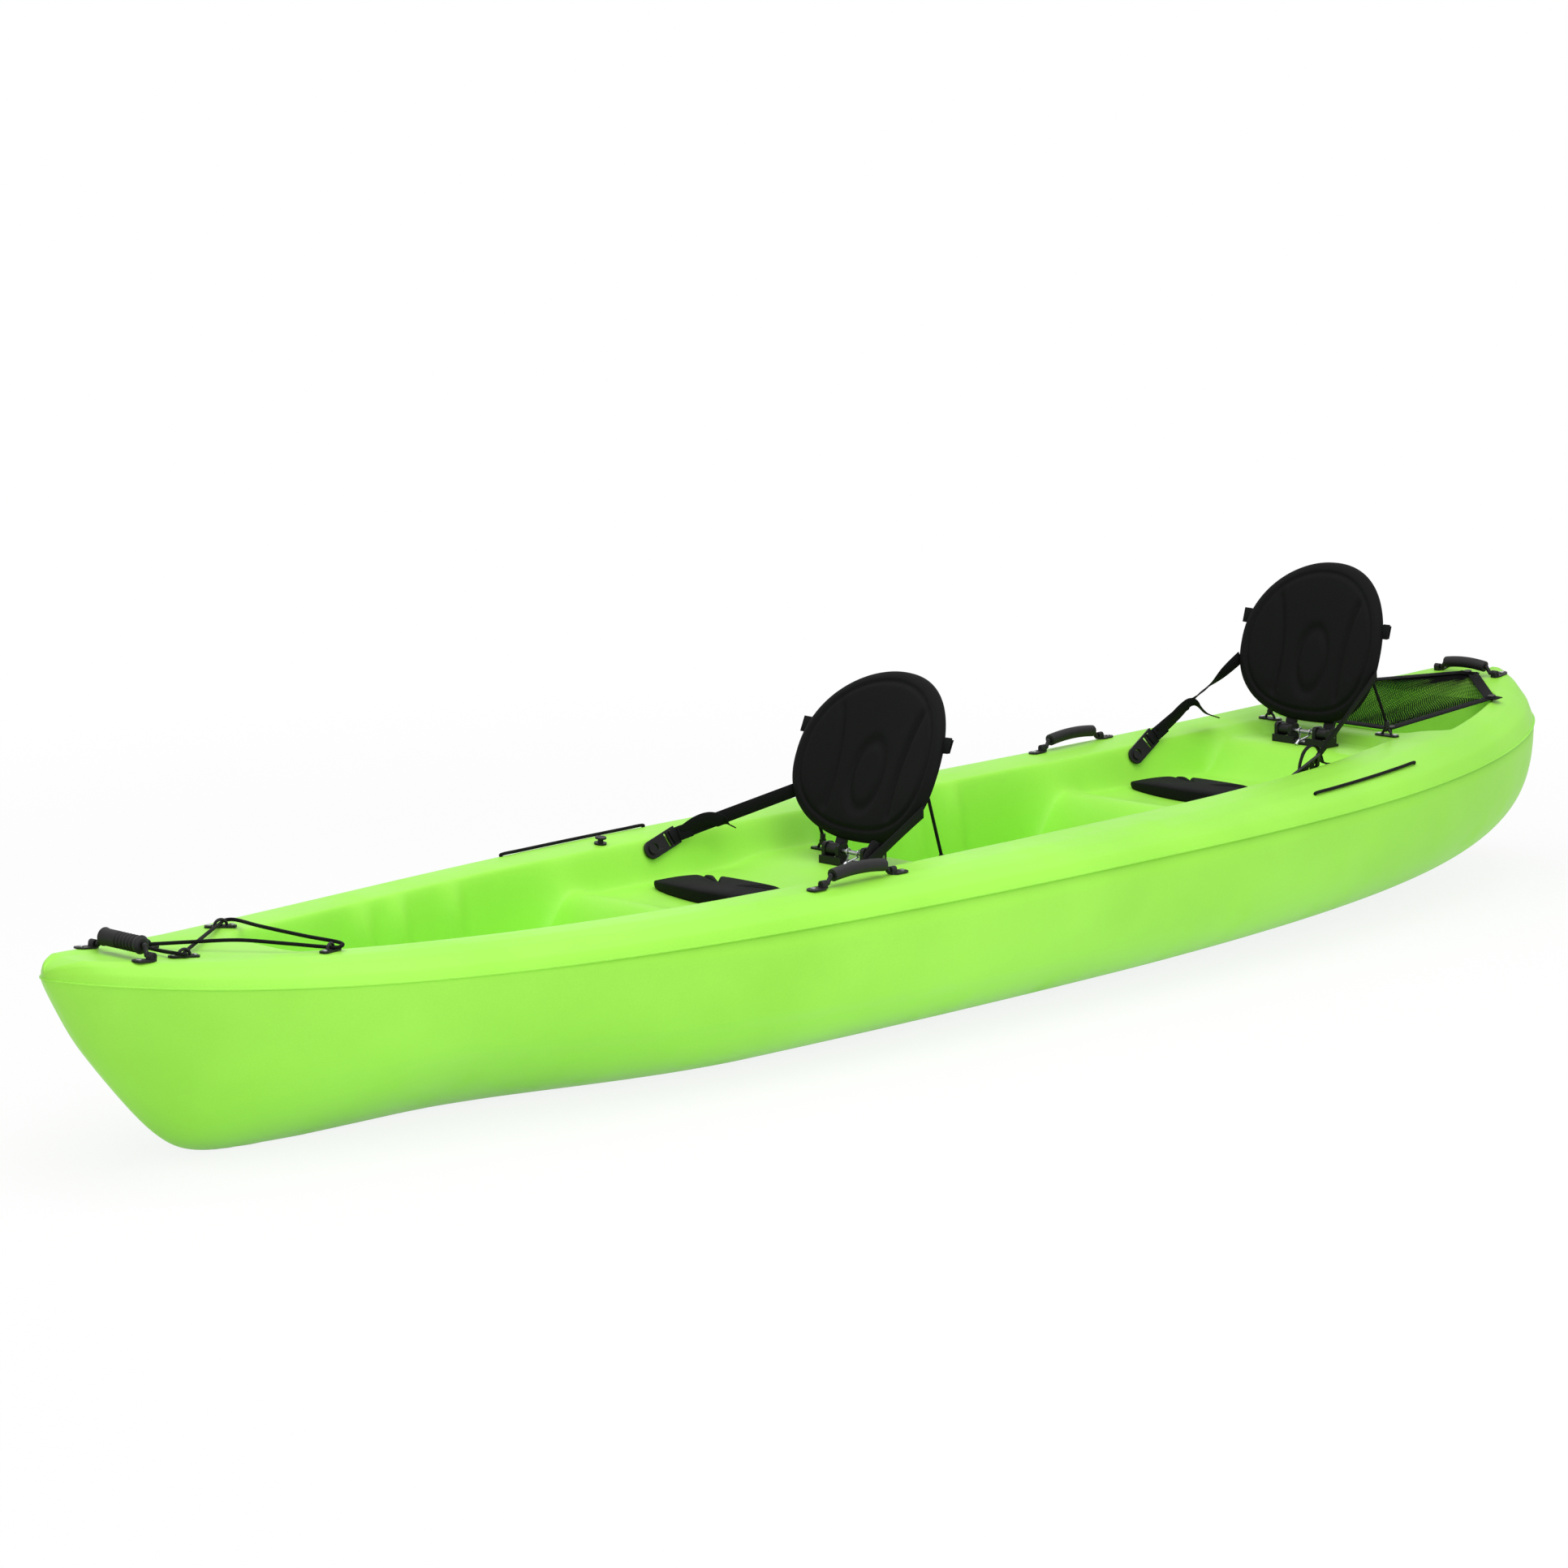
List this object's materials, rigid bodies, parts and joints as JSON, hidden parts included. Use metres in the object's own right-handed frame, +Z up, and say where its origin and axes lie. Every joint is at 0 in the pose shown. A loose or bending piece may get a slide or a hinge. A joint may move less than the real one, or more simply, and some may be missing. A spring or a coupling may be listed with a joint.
{
  "type": "tandem sit-on-top kayak",
  "caption": "Sit-on-top tandem kayak with a moulded hull and deck, folding backrests, carry handles, laced bow bungee, paddle keepers and a netted tankwell.",
  "frame": {"origin": "on the ground under the middle of the bounding box", "axes": "+X to the bow, +Y to port, +Z up"},
  "size_m": [3.657, 0.79, 0.646],
  "materials": {
    "moulded_lime_polyethylene": "satin, as moulded",
    "black_foam": "matt moulded foam with a woven skin",
    "black_webbing": "woven, dull",
    "black_netting": "knitted, dull",
    "black_bungee_cord": "braided, dull",
    "stainless_steel": "bright",
    "black_rubber": "matt",
    "black_plastic": "satin moulded"
  },
  "bodies": {
    "kayak": {"hull_shell": "moulded_lime_polyethylene", "deck_shell": "moulded_lime_polyethylene", "drain_plug": "black_plastic", "drain_seal": "black_rubber", "front_bracket": "black_plastic", "front_hinge_pin": "stainless_steel", "front_port_strap": "black_webbing", "front_starboard_strap": "black_webbing", "front_strap_hooks": "black_plastic", "front_back_bungees": "black_bungee_cord", "front_bungee_hooks": "black_plastic", "front_snap_hook": "stainless_steel", "front_seat_pad": "black_foam", "rear_bracket": "black_plastic", "rear_hinge_pin": "stainless_steel", "rear_port_strap": "black_webbing", "rear_starboard_strap": "black_webbing", "rear_strap_hooks": "black_plastic", "rear_back_bungees": "black_bungee_cord", "rear_bungee_hooks": "black_plastic", "rear_snap_hook": "stainless_steel", "rear_seat_pad": "black_foam", "anchor_posts": "black_plastic", "bracket_screws": "stainless_steel", "seat_pad_eyes": "black_plastic", "seat_eye_screws": "stainless_steel", "bow_handle_feet": "black_plastic", "stern_handle_feet": "black_plastic", "port_handle_feet": "black_plastic", "starboard_handle_feet": "black_plastic", "handle_screws": "stainless_steel", "bow_pad_eyes": "black_plastic", "bow_eye_screws": "stainless_steel", "bow_bungee": "black_bungee_cord", "port_paddle_keeper": "black_bungee_cord", "starboard_paddle_keeper": "black_bungee_cord", "paddle_hook": "black_plastic", "tankwell_net": "black_netting", "net_border": "black_webbing", "net_buttons": "black_plastic"},
    "front_backrest": {"front_backrest_frame": "black_plastic", "front_backrest_pad": "black_foam", "front_back_band": "black_webbing"},
    "rear_backrest": {"rear_backrest_frame": "black_plastic", "rear_backrest_pad": "black_foam", "rear_back_band": "black_webbing"},
    "bow_handle": {"bow_handle_bail": "black_plastic", "bow_handle_grip": "black_rubber"},
    "stern_handle": {"stern_handle_bail": "black_plastic", "stern_handle_grip": "black_rubber"},
    "port_handle": {"port_handle_bail": "black_plastic", "port_handle_grip": "black_rubber"},
    "starboard_handle": {"starboard_handle_bail": "black_plastic", "starboard_handle_grip": "black_rubber"}
  },
  "joints": [
    {"name": "front_backrest_fold", "type": "hinge", "parent": "kayak", "child": "front_backrest", "pos_m": [0.05, 0, 0.264], "axis": [0, 1, 0], "range_deg": [0, 95], "deforming": ["front_port_strap", "front_starboard_strap", "front_back_bungees"]},
    {"name": "rear_backrest_fold", "type": "hinge", "parent": "kayak", "child": "rear_backrest", "pos_m": [-1.24, 0, 0.324], "axis": [0, 1, 0], "range_deg": [0, 95], "deforming": ["rear_port_strap", "rear_starboard_strap", "rear_back_bungees"]},
    {"name": "bow_handle_swing", "type": "hinge", "parent": "kayak", "child": "bow_handle", "pos_m": [1.68196, 0, 0.34277], "axis": [0, 1, 0], "range_deg": [-45, 45]},
    {"name": "stern_handle_swing", "type": "hinge", "parent": "kayak", "child": "stern_handle", "pos_m": [-1.76601, 0, 0.38666], "axis": [0, 1, 0], "range_deg": [-45, 45]},
    {"name": "port_handle_swing", "type": "hinge", "parent": "kayak", "child": "port_handle", "pos_m": [0.36201, 0.29931, 0.30707], "axis": [1, 0, -0.0009], "range_deg": [-45, 45]},
    {"name": "starboard_handle_swing", "type": "hinge", "parent": "kayak", "child": "starboard_handle", "pos_m": [-0.87481, -0.28681, 0.31591], "axis": [0.9997, 0, -0.0254], "range_deg": [-45, 45]}
  ]
}
